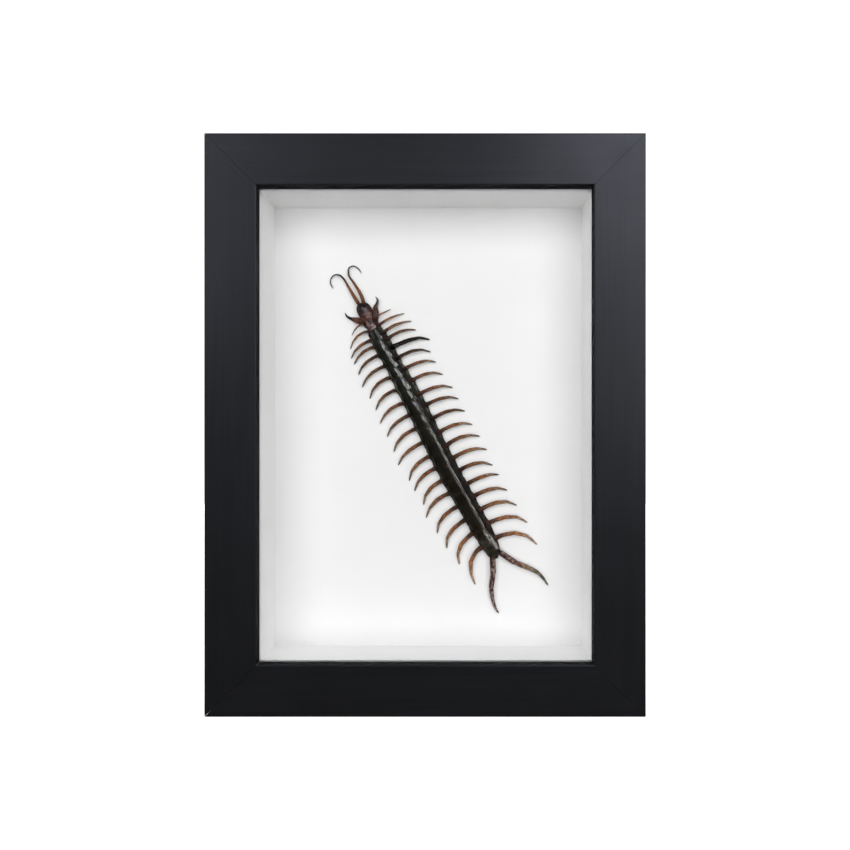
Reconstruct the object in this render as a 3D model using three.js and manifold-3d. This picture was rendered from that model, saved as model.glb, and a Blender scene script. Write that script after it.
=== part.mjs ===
// A framed centipede specimen: a dried centipede on a white card, in a black, glass-fronted box frame.
// Millimetres. +X is to the viewer's right, +Z is up and the glass faces -Y.
// The origin is under the middle of the frame, on the surface that it stands on.
import * as THREE from "three";
import { mergeVertices } from "three/addons/utils/BufferGeometryUtils.js";
import Module from "manifold-3d";

// Frame moulding
const FRAME_WIDTH = 160;
const FRAME_HEIGHT = 211.5;
const FRAME_DEPTH = 32;
const RAIL_FACE = 19; // width of a rail, seen from the front
const LIP_OVERLAP = 4.5; // the part of that width that stands in front of the glass
const LIP_THICKNESS = 4;
const FACE_EDGE = 0.6; // radius of the rail's front edges
const BACK_EDGE = 0.4; // chamfer of its back edges
const MITRE_GAP = 0.06; // each rail ends this far short of the middle of the mitre

// What is stacked behind the lip, from the front
const GLASS_THICKNESS = 2;
const LINER_DEPTH = 19;
const CARD_THICKNESS = 1.5;
const BOARD_THICKNESS = 3;
const SHEET_PLAY = 0.5; // glass, card and board are this much smaller than the rabbet, all round
const LINER_PLAY = 0.2;

// Steel fittings on the back
const TAB = { length: 12, width: 7, thickness: 0.6, play: 0.1, along: 50 };
const HANGER = {
  width: 46,
  height: 8,
  thickness: 0.7,
  standOff: 0.9, // of its middle from the board
  foot: 9, // length of each end that lies on the board
  teeth: 9,
  toothDepth: 1.6,
  drop: 26, // below the top wall of the rabbet
};
const RIVET = { radius: 1.7, height: 0.6 };

// Where the centipede lies: the front of its head, and how far its body leans from the vertical
const HEAD_FRONT = { x: -26.7, z: 154.5 };
const LEAN_DEGREES = 28.07;
const REST_GAP = 0.2; // between the animal and the card

// The animal, seen from above: [distance behind the front of the head, half width]
const HEAD_OUTLINE = [[0, 0], [0.25, 1.5], [1.4, 2.5], [3.4, 2.95], [5.6, 2.85], [7.2, 2.3], [8.4, 0]];
const TRUNK_OUTLINE = [[7.4, 2.3], [11, 2.7], [14, 3.5], [16, 3.7], [28, 3.8], [38, 4.35], [55, 4.5],
  [84, 4.5], [92, 4.3], [104, 4.1], [110, 3.3], [114, 2.2]];
const HEAD_MIDDLE = 1.5; // height of the head's widest place above the card
const HEAD_FLATNESS = 0.5; // thickness against width
const TRUNK_MIDDLE = 0.4; // the same for the trunk, against its half width
const TRUNK_FLATNESS = 0.5;
const NECK = 7.4;
const TRUNK_END = 112.6;
const OVERLAP_STEP = 0.94; // each back plate starts this much narrower than the one in front of it ends
const CURVE = { start: 20, length: 72, width: 0.38 }; // the slight S that the trunk lies in

// Walking legs: where each pair leaves the trunk, then, for the right leg and for the left one,
// [how far out from the middle line its tip is, how far behind that place, how far forwards it bows]
const LEGS = [
  [8.5, [9.5, -1, 1], [9, 1, 2.5]],
  [11.5, [13.5, 0, 1], [12, 2.5, 2.5]],
  [15, [14.5, 0.5, 1.5], [13.5, 2.5, 1.5]],
  [18, [14.5, 1.5, 1.5], [13.5, 2, 2]],
  [21.5, [17.5, 4, -0.5], [14, 3, 1]],
  [26.5, [15.5, 3.5, 1], [15, 3, 1.5]],
  [31.5, [15.5, 3, 0.5], [14.5, 3.5, 2]],
  [37, [15.5, 3, 1], [14.5, 3, 2]],
  [43, [16.5, 3.5, 0.5], [15.5, 2.5, 2.5]],
  [48, [16.5, 3.5, 0.5], [15.5, 3.5, 1]],
  [54, [16.5, 3, 1], [16, 4, 1.5]],
  [60, [16.5, 3, 1], [17, 3.5, 1]],
  [66, [17, 2.5, 2], [16, 5, 1]],
  [71.5, [17, 3, 1], [16, 4, 1.5]],
  [77, [16, 4, 1], [15.5, 5, 1.5]],
  [83, [16.5, 2.5, 0.5], [17, 4, 2.5]],
  [88.5, [16.5, 4, 0.5], [16, 6, 0.5]],
  [94.5, [17, 5, 1], [15.5, 7, 0]],
  [100.5, [17.5, 7, 0], [14, 9, -0.5]],
  [107, [16.8, 10, 0.2], [12.3, 12.5, 0]],
];
const LEG_ROOT_SHARE = 0.6; // legs start inside the trunk, at this share of its half width
const LEG_SIDES = 6;
const BODY_SIDES = 14;

// Other limbs: points [out to the right, back, height above the card]
const ANTENNA_RIGHT = [[1.1, 1.2, 1.7], [1.8, -2.5, 1.7], [1.6, -7.5, 1.5], [1.4, -12.6, 1.3],
  [2.6, -14.4, 1.2], [4.4, -14.4, 1.1], [5.7, -12.6, 1], [6, -10.2, 0.9]];
const ANTENNA_LEFT = [[-0.6, 1.2, 1.7], [-0.9, -3.5, 1.7], [-1.1, -8, 1.5], [-1.3, -11.8, 1.3],
  [-2.3, -14, 1.2], [-4.2, -14.7, 1.1], [-6, -13.8, 1], [-6.8, -12, 0.9], [-6.6, -10.2, 0.8]];
const FORCIPULE_RIGHT = [[1, 9.4, 1.3], [2.7, 7.6, 1.3], [3.8, 5.6, 1.3], [4.8, 3.9, 1.3],
  [6, 3, 1.2], [6.7, 1.9, 1], [6.5, 0.2, 0.8]];
const FORCIPULE_LEFT = [[-0.8, 8.6, 1.3], [-2.8, 6.7, 1.3], [-4.6, 5.1, 1.3], [-5.9, 3.8, 1.3],
  [-6.8, 2.8, 1.2], [-7.2, 1.6, 1], [-7.1, 0.2, 0.8]];
const LAST_LEG_RIGHT = [[1.2, 109.5, 1.8], [2.4, 112.5, 2], [4.8, 117.2, 2.2], [7.1, 120.5, 2.1],
  [9.6, 123.4, 1.9], [11.6, 126.2, 1.6], [12.6, 129.4, 1.1], [13, 133.4, 0.7]];
const LAST_LEG_LEFT = [[-0.6, 109, 1.8], [-0.8, 112.2, 2], [-2.1, 115, 2.2], [-3.4, 117.8, 2.2],
  [-5.1, 120.2, 2.1], [-6.7, 122.4, 1.9], [-8, 125, 1.6], [-9, 128, 1.3], [-9.6, 130.8, 1],
  [-9.4, 133.8, 0.7]];

// Thickness of each kind of limb: [share of its length, radius]. A leg's joints are its waists.
const LEG_RINGS = [[0.01, 0.62], [0.3, 0.6], [0.46, 0.5], [0.5, 0.58], [0.66, 0.42], [0.8, 0.36],
  [0.93, 0.24], [0.99, 0.06]];
const LAST_LEG_RINGS = [[0.01, 1], [0.22, 0.95], [0.4, 0.78], [0.44, 0.88], [0.6, 0.66], [0.64, 0.74],
  [0.8, 0.5], [0.94, 0.34], [0.99, 0.07]];
const ANTENNA_RINGS = [[0.01, 0.76], [0.12, 0.72], [0.25, 0.62], [0.38, 0.5], [0.48, 0.43], [0.56, 0.38],
  [0.63, 0.34], [0.7, 0.3], [0.77, 0.27], [0.84, 0.24], [0.91, 0.21], [0.99, 0.14]];
const FORCIPULE_RINGS = [[0.01, 1.3], [0.28, 1.4], [0.48, 1.15], [0.6, 0.9], [0.66, 0.58], [0.8, 0.44],
  [0.92, 0.26], [0.99, 0.06]];
const LEG_STOUTNESS = { first: 0.78, last: 1.18 }; // legs are finest behind the head

const HALF_DEPTH = FRAME_DEPTH / 2;
const MIDDLE_HEIGHT = FRAME_HEIGHT / 2;
const WALL = RAIL_FACE - LIP_OVERLAP; // the rail beside the rabbet
const RABBET_WIDTH = FRAME_WIDTH - 2 * WALL;
const RABBET_HEIGHT = FRAME_HEIGHT - 2 * WALL;
const LINER_THICKNESS = LIP_OVERLAP - LINER_PLAY;

// Depths behind the frame's face
const GLASS_FRONT = LIP_THICKNESS;
const LINER_FRONT = GLASS_FRONT + GLASS_THICKNESS;
const CARD_FRONT = LINER_FRONT + LINER_DEPTH;
const BOARD_FRONT = CARD_FRONT + CARD_THICKNESS;
const BOARD_BACK = BOARD_FRONT + BOARD_THICKNESS;

const wasm = await Module();
wasm.setup();

function material(color, roughness, metalness = 0) {
  return new THREE.MeshStandardMaterial({ color, roughness, metalness });
}

const BLACK_LACQUER = material(0x1b1b1d, 0.45);
const CLEAR_GLASS = material(0xf4f8f8, 0.03);
CLEAR_GLASS.transparent = true;
CLEAR_GLASS.opacity = 0.12;
const WHITE_LINER = material(0xe6e6e4, 0.8);
const WHITE_CARD = material(0xececec, 0.85);
const BROWN_BOARD = material(0x8a6a48, 0.8);
const ZINC_STEEL = material(0xb4b6b8, 0.35, 1);
const DARK_CUTICLE = material(0x2c1c12, 0.3);

const specimenBox = new THREE.Group();

function add(name, geometry, surface) {
  const mesh = new THREE.Mesh(geometry, surface);
  mesh.name = name;
  specimenBox.add(mesh);
  return mesh;
}

// A closed solid from a geometry, and back.
function toSolid(geometry) {
  const bare = geometry.clone();
  bare.deleteAttribute("normal");
  bare.deleteAttribute("uv");
  const merged = mergeVertices(bare, 1e-4);
  return new wasm.Manifold(new wasm.Mesh({
    numProp: 3,
    vertProperties: new Float32Array(merged.attributes.position.array),
    triVerts: new Uint32Array(merged.index.array),
  }));
}

function toGeometry(solid) {
  const mesh = solid.getMesh();
  const geometry = new THREE.BufferGeometry();
  geometry.setAttribute("position", new THREE.BufferAttribute(mesh.vertProperties, 3));
  geometry.setIndex(new THREE.BufferAttribute(mesh.triVerts, 1));
  geometry.computeVertexNormals();
  return geometry;
}

// Section of a rail: x runs inwards from the outer edge, y runs back from the face.
function railSection() {
  const r = FACE_EDGE;
  const c = BACK_EDGE;
  const section = new THREE.Shape();
  section.moveTo(0, r);
  section.absarc(r, r, r, Math.PI, 1.5 * Math.PI, false);
  section.lineTo(RAIL_FACE - r, 0);
  section.absarc(RAIL_FACE - r, r, r, 1.5 * Math.PI, 2 * Math.PI, false);
  section.lineTo(RAIL_FACE, LIP_THICKNESS);
  section.lineTo(WALL, LIP_THICKNESS);
  section.lineTo(WALL, FRAME_DEPTH);
  section.lineTo(c, FRAME_DEPTH);
  section.lineTo(0, FRAME_DEPTH - c);
  return section;
}

// A rail along X as the top one lies, its outer edge at height reach, both ends cut back at 45 degrees.
function railGeometry(length, reach) {
  const cut = { depth: length, bevelEnabled: false, curveSegments: 3 };
  const geometry = new THREE.ExtrudeGeometry(railSection(), cut);
  const points = geometry.attributes.position;
  for (let i = 0; i < points.count; i++) {
    const inwards = points.getX(i);
    const back = points.getY(i);
    const side = points.getZ(i) > length / 2 ? 1 : -1;
    const along = side * (length / 2 - inwards - MITRE_GAP);
    points.setXYZ(i, along, back - HALF_DEPTH, reach - inwards);
  }
  return geometry;
}

// The four rails are one moulding, turned a quarter at a time about the middle of the frame.
function addRails() {
  const rails = [
    ["rail_top", FRAME_WIDTH, MIDDLE_HEIGHT],
    ["rail_right", FRAME_HEIGHT, FRAME_WIDTH / 2],
    ["rail_bottom", FRAME_WIDTH, MIDDLE_HEIGHT],
    ["rail_left", FRAME_HEIGHT, FRAME_WIDTH / 2],
  ];
  rails.forEach(([name, length, reach], quarter) => {
    const rail = add(name, railGeometry(length, reach), BLACK_LACQUER);
    rail.position.z = MIDDLE_HEIGHT;
    rail.rotation.y = (quarter * Math.PI) / 2;
  });
}

// A flat piece that faces front, given by its middle, its size and the depths of its two faces.
function addSlab(name, middleX, middleZ, width, height, front, back, surface) {
  const slab = add(name, new THREE.BoxGeometry(width, back - front, height), surface);
  slab.position.set(middleX, (front + back) / 2 - HALF_DEPTH, middleZ);
}

function addSheets() {
  const width = RABBET_WIDTH - 2 * SHEET_PLAY;
  const height = RABBET_HEIGHT - 2 * SHEET_PLAY;
  addSlab("glass_pane", 0, MIDDLE_HEIGHT, width, height, GLASS_FRONT, LINER_FRONT, CLEAR_GLASS);
  addSlab("mount_card", 0, MIDDLE_HEIGHT, width, height, CARD_FRONT, BOARD_FRONT, WHITE_CARD);
  addSlab("back_board", 0, MIDDLE_HEIGHT, width, height, BOARD_FRONT, BOARD_BACK, BROWN_BOARD);
}

// White strips between the glass and the card, flush with the edge of the lip.
function addLiners() {
  const width = RABBET_WIDTH - 2 * LINER_PLAY;
  const height = RABBET_HEIGHT - 2 * LINER_PLAY - 2 * LINER_THICKNESS;
  const middleX = (width - LINER_THICKNESS) / 2;
  const middleZ = (height + LINER_THICKNESS) / 2;
  const strips = [
    ["liner_right", middleX, 0, LINER_THICKNESS, height],
    ["liner_left", -middleX, 0, LINER_THICKNESS, height],
    ["liner_top", 0, middleZ, width, LINER_THICKNESS],
    ["liner_bottom", 0, -middleZ, width, LINER_THICKNESS],
  ];
  for (const [name, x, z, across, up] of strips)
    addSlab(name, x, MIDDLE_HEIGHT + z, across, up, LINER_FRONT, CARD_FRONT, WHITE_LINER);
}

// A flat steel tongue with a round end, along X from the wall of the rabbet, which is at 0.
function tabGeometry() {
  const radius = TAB.width / 2;
  const outline = new THREE.Shape();
  outline.moveTo(-TAB.play, radius);
  outline.lineTo(-TAB.length + radius, radius);
  outline.absarc(-TAB.length + radius, 0, radius, Math.PI / 2, 1.5 * Math.PI, false);
  outline.lineTo(-TAB.play, -radius);
  const sheet = { depth: TAB.thickness, bevelEnabled: false, curveSegments: 10 };
  return new THREE.ExtrudeGeometry(outline, sheet).rotateX(-Math.PI / 2);
}

// Six tabs that hold the board in: two on each long rail and one on each short one.
function addTabs() {
  const places = [
    [RABBET_WIDTH / 2, TAB.along, 0],
    [RABBET_WIDTH / 2, -TAB.along, 0],
    [0, -RABBET_HEIGHT / 2, 1],
    [-RABBET_WIDTH / 2, -TAB.along, 2],
    [-RABBET_WIDTH / 2, TAB.along, 2],
    [0, RABBET_HEIGHT / 2, 3],
  ];
  const shape = tabGeometry();
  places.forEach(([x, z, quarter], i) => {
    const tab = add("retaining_tab_" + (i + 1), shape, ZINC_STEEL);
    tab.position.set(x, BOARD_BACK - HALF_DEPTH, MIDDLE_HEIGHT + z);
    tab.rotation.y = (quarter * Math.PI) / 2;
  });
}

// The sawtooth hanger: a strip whose ends lie on the board and whose middle stands off it, toothed below.
function hangerGeometry() {
  const half = HANGER.width / 2;
  const rise = HANGER.standOff;
  const t = HANGER.thickness;
  const bend = half - HANGER.foot;
  const inner = bend - 1.5 * rise;
  const strip = new THREE.Shape([
    [-half, 0], [-bend, 0], [-inner, rise], [inner, rise], [bend, 0], [half, 0],
    [half, t], [bend, t], [inner, rise + t], [-inner, rise + t], [-bend, t], [-half, t],
  ].map(([x, y]) => new THREE.Vector2(x, y)));
  const plate = new THREE.ExtrudeGeometry(strip, { depth: HANGER.height, bevelEnabled: false });
  plate.translate(0, 0, -HANGER.height / 2);

  const pitch = (2 * inner - 4) / HANGER.teeth;
  const notches = new THREE.Shape();
  const bottom = -HANGER.height / 2;
  const start = (-HANGER.teeth * pitch) / 2;
  notches.moveTo(start, bottom - 1);
  notches.lineTo(start, bottom);
  for (let i = 0; i < HANGER.teeth; i++) {
    notches.lineTo(start + (i + 0.5) * pitch, bottom + HANGER.toothDepth);
    notches.lineTo(start + (i + 1) * pitch, bottom);
  }
  notches.lineTo(-start, bottom - 1);
  const cutter = new THREE.ExtrudeGeometry(notches, { depth: 8, bevelEnabled: false });
  cutter.rotateX(Math.PI / 2).translate(0, 5, 0);
  return toGeometry(toSolid(plate).subtract(toSolid(cutter)));
}

function addHanger() {
  const height = FRAME_HEIGHT - WALL - HANGER.drop;
  const back = BOARD_BACK - HALF_DEPTH;
  add("hanger_plate", hangerGeometry(), ZINC_STEEL).position.set(0, back, height);
  const dome = new THREE.LatheGeometry([
    new THREE.Vector2(0, 0),
    new THREE.Vector2(RIVET.radius, 0),
    new THREE.Vector2(RIVET.radius * 0.85, RIVET.height * 0.6),
    new THREE.Vector2(0, RIVET.height),
  ], 16);
  for (const [side, sign] of [["right", 1], ["left", -1]]) {
    const rivet = add("hanger_rivet_" + side, dome, ZINC_STEEL);
    rivet.position.set(sign * (HANGER.width - HANGER.foot) / 2, back + HANGER.thickness, height);
  }
}

// The centipede is built head upwards: x is out to the right, y is forwards from the front of the head,
// and z is up from the card. Distances along it are measured back from the front of the head, as -y.
const onAnimal = (out, back, height) => new THREE.Vector3(out, -back, height);

// A value between the stations [distance, value] of an outline.
function between(stations, distance) {
  const next = Math.max(1, stations.findIndex(([place]) => place >= distance));
  const [d0, v0] = stations[next - 1];
  const [d1, v1] = stations[next];
  return v0 + ((v1 - v0) * THREE.MathUtils.clamp(distance - d0, 0, d1 - d0)) / (d1 - d0);
}

function sideways(distance) {
  const turn = (2 * Math.PI * Math.max(0, distance - CURVE.start)) / CURVE.length;
  return CURVE.width * Math.sin(turn);
}

// A lathe along the body, pressed to a low dome that is flat underneath.
function domeSolid(outline, middleAt, flatness) {
  const profile = outline.map(([back, half]) => new THREE.Vector2(half, -back)).reverse();
  const geometry = new THREE.LatheGeometry(profile, BODY_SIDES);
  const points = geometry.attributes.position;
  for (let i = 0; i < points.count; i++) {
    const back = -points.getY(i);
    const height = middleAt(back) + flatness * points.getZ(i);
    points.setXYZ(i, points.getX(i) + sideways(back), -back, Math.max(REST_GAP, height));
  }
  return toSolid(geometry);
}

// Rings of the trunk: each back plate starts narrow, swells, and ends wide over the next.
function trunkOutline() {
  const roots = LEGS.map(([root]) => root);
  const joints = [NECK];
  for (let i = 1; i < roots.length; i++)
    joints.push((roots[i - 1] + roots[i]) / 2);
  joints.push((roots.at(-1) + TRUNK_END) / 2, TRUNK_END);
  const outline = [[NECK, 0]];
  for (let i = 0; i + 1 < joints.length; i++) {
    const length = joints[i + 1] - joints[i];
    const first = joints[i] + 0.12;
    outline.push([first, between(TRUNK_OUTLINE, first) * OVERLAP_STEP]);
    outline.push([joints[i] + 0.3 * length, between(TRUNK_OUTLINE, joints[i] + 0.3 * length)]);
    outline.push([joints[i + 1], between(TRUNK_OUTLINE, joints[i + 1])]);
  }
  outline.push([TRUNK_END + 0.4, 0]);
  return outline;
}

function trunkSolid() {
  return domeSolid(trunkOutline(), (back) => TRUNK_MIDDLE * between(TRUNK_OUTLINE, back), TRUNK_FLATNESS);
}

function headSolid() {
  return domeSolid(HEAD_OUTLINE, () => HEAD_MIDDLE, HEAD_FLATNESS);
}

// A jointed limb along a curve: rings are [share of the length, radius], and it is closed at both ends.
function limbSolid(curve, rings, sides) {
  const profile = [[0, 0], ...rings, [1, 0]].map(([share, radius]) => new THREE.Vector2(radius, share));
  const geometry = new THREE.LatheGeometry(profile, sides);
  const points = geometry.attributes.position;
  const up = new THREE.Vector3(0, 0, 1);
  for (let i = 0; i < points.count; i++) {
    const share = points.getY(i);
    const forward = curve.getTangentAt(share);
    const side = new THREE.Vector3().crossVectors(forward, up).normalize();
    const top = new THREE.Vector3().crossVectors(side, forward);
    const place = curve.getPointAt(share)
      .addScaledVector(side, points.getX(i))
      .addScaledVector(top, points.getZ(i));
    points.setXYZ(i, place.x, place.y, Math.max(REST_GAP, place.z));
  }
  return toSolid(geometry);
}

// A walking leg leaves the trunk a little forwards, arches, and sweeps back to its claw.
function legCurve(side, root, [out, back, bow]) {
  const start = root - 0.27 * side;
  const first = LEG_ROOT_SHARE * between(TRUNK_OUTLINE, start);
  const reach = out - first;
  const steep = Math.max(0, back / reach - 0.4);
  const points = [
    [first, start, 1.6],
    [first + 0.42 * reach, start - bow, 3],
    [first + (0.86 + 0.12 * steep) * reach, start + 0.18 * back, 1.6],
    [out, root + back, 0.5],
  ];
  return new THREE.CubicBezierCurve3(...points.map(([x, y, z]) => onAnimal(side * x, y, z)));
}

// The same limb, stouter or finer.
function scaled(rings, factor) {
  return rings.map(([share, radius]) => [share, radius * factor]);
}

function throughPoints(points) {
  return new THREE.CatmullRomCurve3(points.map((point) => onAnimal(...point)));
}

function addCentipede() {
  let animal = trunkSolid().add(headSolid());
  LEGS.forEach(([root, right, left], index) => {
    const along = index / (LEGS.length - 1);
    const rings = scaled(LEG_RINGS, THREE.MathUtils.lerp(LEG_STOUTNESS.first, LEG_STOUTNESS.last, along));
    animal = animal.add(limbSolid(legCurve(1, root, right), rings, LEG_SIDES));
    animal = animal.add(limbSolid(legCurve(-1, root, left), rings, LEG_SIDES));
  });
  const otherLimbs = [
    [LAST_LEG_RIGHT, LAST_LEG_RINGS, 8],
    [LAST_LEG_LEFT, LAST_LEG_RINGS, 8],
    [FORCIPULE_RIGHT, FORCIPULE_RINGS, 8],
    [FORCIPULE_LEFT, FORCIPULE_RINGS, 8],
    [ANTENNA_RIGHT, ANTENNA_RINGS, 6],
    [ANTENNA_LEFT, ANTENNA_RINGS, 6],
  ];
  for (const [points, rings, sides] of otherLimbs)
    animal = animal.add(limbSolid(throughPoints(points), rings, sides));

  // Laid on the card: up from the card becomes out towards the glass.
  const geometry = toGeometry(animal).rotateX(Math.PI / 2);
  const centipede = add("centipede", geometry, DARK_CUTICLE);
  centipede.position.set(HEAD_FRONT.x, CARD_FRONT - HALF_DEPTH, HEAD_FRONT.z);
  centipede.rotation.y = THREE.MathUtils.degToRad(-LEAN_DEGREES);
}

addRails();
addSheets();
addLiners();
addTabs();
addHanger();
addCentipede();

export default specimenBox;
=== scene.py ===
# The looks of a framed centipede specimen: camera, studio, the frame's finishes and the dried animal.
# Metres, +Z up, the glass faces -Y. The animal's own sizes are in millimetres.
import math

import bmesh
import bpy
import numpy as np
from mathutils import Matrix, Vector, noise


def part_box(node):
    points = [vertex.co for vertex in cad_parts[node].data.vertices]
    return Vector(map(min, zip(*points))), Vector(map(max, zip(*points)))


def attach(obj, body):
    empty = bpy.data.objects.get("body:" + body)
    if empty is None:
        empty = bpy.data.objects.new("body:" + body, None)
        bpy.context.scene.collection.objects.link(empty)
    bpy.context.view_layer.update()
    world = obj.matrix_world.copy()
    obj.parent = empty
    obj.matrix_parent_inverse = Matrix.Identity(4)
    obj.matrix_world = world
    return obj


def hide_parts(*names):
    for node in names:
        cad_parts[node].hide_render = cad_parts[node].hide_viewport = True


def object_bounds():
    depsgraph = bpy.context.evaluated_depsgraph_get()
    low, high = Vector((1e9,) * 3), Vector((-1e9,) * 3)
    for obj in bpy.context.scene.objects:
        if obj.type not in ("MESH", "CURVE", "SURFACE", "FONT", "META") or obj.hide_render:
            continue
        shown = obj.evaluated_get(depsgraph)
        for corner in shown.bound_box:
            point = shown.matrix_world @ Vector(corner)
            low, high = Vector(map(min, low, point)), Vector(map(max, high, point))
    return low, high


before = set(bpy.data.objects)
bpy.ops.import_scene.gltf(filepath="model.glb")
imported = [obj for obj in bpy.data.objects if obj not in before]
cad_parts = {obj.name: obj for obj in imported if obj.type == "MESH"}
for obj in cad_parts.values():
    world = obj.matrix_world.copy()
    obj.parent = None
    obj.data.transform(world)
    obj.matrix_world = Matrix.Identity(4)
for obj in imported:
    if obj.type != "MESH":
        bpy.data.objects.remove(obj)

CAD_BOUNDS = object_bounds()
MM = 0.001
RAIL_FACE = 19 * MM  # width of the frame's face
RAIL_ROUNDING = 0.06 * MM
CARD_WHITE = (0.72, 0.72, 0.72)
LINER_WHITE = (0.97, 0.97, 0.965)

# Camera: where it stands, and the width of the picture at the frame's front face
VIEW_DISTANCE = 0.260
VIEW_RIGHT = 0.013  # of the middle of the frame
VIEW_DOWN = 0.008  # below it
PICTURE_WIDTH = 0.307445
SENSOR_WIDTH = 36.0
STAGE_RADIUS = 4.0
FLOOR_DROP = 0.0002  # how far the floor lies under the frame

# Lights: [name, place, what it faces, (width, height), watts, whether it is mirrored]
LIGHTS = [
    ["key_strip", (0.49, -0.72, 0.39), (0, 0, 0.106), (0.07, 0.60), 2.1, True],
    ["box_right", (0.29, -0.72, 0.58), (0, 0, 0.15), (0.12, 0.34), 1.5, True],
    ["box_left", (-0.46, -0.72, 0.50), (0, 0, 0.15), (0.34, 0.5), 1.2, True],
    ["front_fill", (0.0, -0.9, 0.24), (0, 0, 0.24), (1.5, 1.1), 16.0, False],
    ["back_fill", (0.0, 0.9, 0.3), (0, 0, 0.1), (1.8, 1.4), 15.0, False],
    ["back_box", (-0.55, 0.75, 0.35), (0, 0, 0.1), (0.8, 1.0), 6.0, True],
    ["back_box", (0.55, 0.75, 0.35), (0, 0, 0.1), (0.8, 1.0), 6.0, True],
]
LEANING_LIGHTS = ("key_strip", "box_right")  # turned to lie along the animal
KEY_COLOUR = (1.0, 0.97, 0.90)

# Where the animal lies on the card, as in the CAD model
HEAD_FRONT = (-26.7, 154.5)
LEAN = math.radians(28.07)
REST_GAP = 0.2  # between the animal and the card

# Gentle unevenness of its shapes: [size of the bumps, height]
BODY_FOLDS = (1.1, 0.22)
BODY_CREASES = (0.45, 0.09)
PLATE_WAVES = (2.2, 0.05)
HEAD_WAVES = (1.6, 0.07)
JAW_FOLDS = (0.9, 0.12)

# The trunk: [distance behind the front of the head, half width], and its slight bend to the sides
HALF_WIDTHS = [[7.4, 2.3], [11, 2.7], [14, 3.5], [16, 3.7], [28, 3.8], [38, 4.35], [55, 4.5],
               [84, 4.5], [92, 4.3], [104, 4.1], [110, 3.3], [114, 2.2]]
BEND_START = 20.0
BEND_LENGTH = 72.0
BEND_WIDTH = 0.38
BODY_LENGTH = 113.0  # colours run along this length

# Rear edges of the 21 back plates, after the front edge of the first
PLATE_EDGES = [7.7, 11.4, 13.6, 16.2, 20.2, 24.4, 28.7, 33.0, 39.2, 43.8, 50.2, 55.5, 61.7, 67.0,
               72.6, 78.2, 84.4, 89.4, 95.0, 101.0, 106.6, 112.4]
# Side edges of the plates, as shares of the trunk's half width: [distance, left edge, right edge]
PLATE_SIDES = [[8, -0.74, 0.44], [60, -0.74, 0.44], [98, -0.74, 0.44], [102, -0.74, 0.46],
               [107, -0.76, 0.66], [113, -0.80, 0.80]]
# Height of the plates' crest above the card: [distance, height]
CREST_HEIGHTS = [[7.7, 2.85], [12, 3.05], [16, 3.2], [28, 3.35], [38, 3.7], [55, 3.87], [84, 3.87],
                 [104, 3.75], [110, 3.55], [114, 3.3]]
PLATE_TUCK = 0.25  # how far a plate starts under the one in front
PLATE_OVERHANG = 0.45
PLATE_THICKNESS = 0.18
PLATE_CORNERS = (0.35, 0.5)  # how far its front and rear edges round off at the corners
PLATE_HOLLOW = 0.12  # how far its rear edge is hollowed in the middle
PLATE_ROWS = 26
PLATE_LEAN = 0.02  # how much a plate may lean to one side, as a share of the trunk's half width
PLATE_BULGE = 0.03  # how much wider a plate is halfway along
PLATE_VARIETY = 0.02  # how much plates differ in width
# Across a plate, by the share of the way out from its middle: [place, breadth, depth]
RIM = (0.92, 0.08, 0.05)
GROOVE = (0.70, 0.05, 0.05)
SUTURE = (0.36, 0.03, 0.03)
# How the plates' section changes: [distance, place of the crest across, drop from it to the right edge
# as a share of the trunk's half width, power of the arch, share of the groove's depth]
PLATE_SECTIONS = [
    [8, -0.42, 0.21, 2.0, 0.0],
    [24, -0.45, 0.232, 2.0, 0.0],
    [38, -0.45, 0.232, 2.0, 0.0],
    [50, -0.35, 0.175, 2.2, 0.2],
    [62, -0.15, 0.146, 2.7, 0.7],
    [78, 0.10, 0.108, 2.2, 1.0],
    [97, 0.10, 0.108, 2.2, 1.0],
    [102, 0.05, 0.13, 2.0, 0.7],
    [106, 0.0, 0.18, 1.6, 0.3],
    [111, 0.1, 0.12, 2.2, 0.3],
    [114, 0.1, 0.12, 2.2, 0.3],
]
LEFT_DROP = 0.55  # the plates' drop towards the left, as a share of the one towards the right

# The soft body between and under the plates
BODY_REACH = (7.9, 112.6)  # where it starts and ends
BODY_STEP = 0.25
BODY_COLUMNS = 56
BODY_HEIGHT = 0.93  # as a share of the crest's height
BODY_BREADTH = 1.16  # the trunk's half width as a share of the crest's height
BODY_PINCH = 0.075  # how much narrower it is between two legs
PINCH_DISTANCE = 2.4  # from a leg's root to where it is that narrow
BODY_SHRINK = 0.08  # how far its folded skin lies inside its outline
# Last piece of the body and the bases of the last legs: [to the right, start, length, half width, height]
TAIL_PARTS = [
    [0.2, 108.5, 5.6, 1.25, 1.5],
    [1.75, 107.6, 5.8, 1.25, 1.45],
    [-1.45, 107.2, 5.7, 1.2, 1.4],
]
TAIL_MIDDLE = 1.75  # height of their middle line

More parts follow.
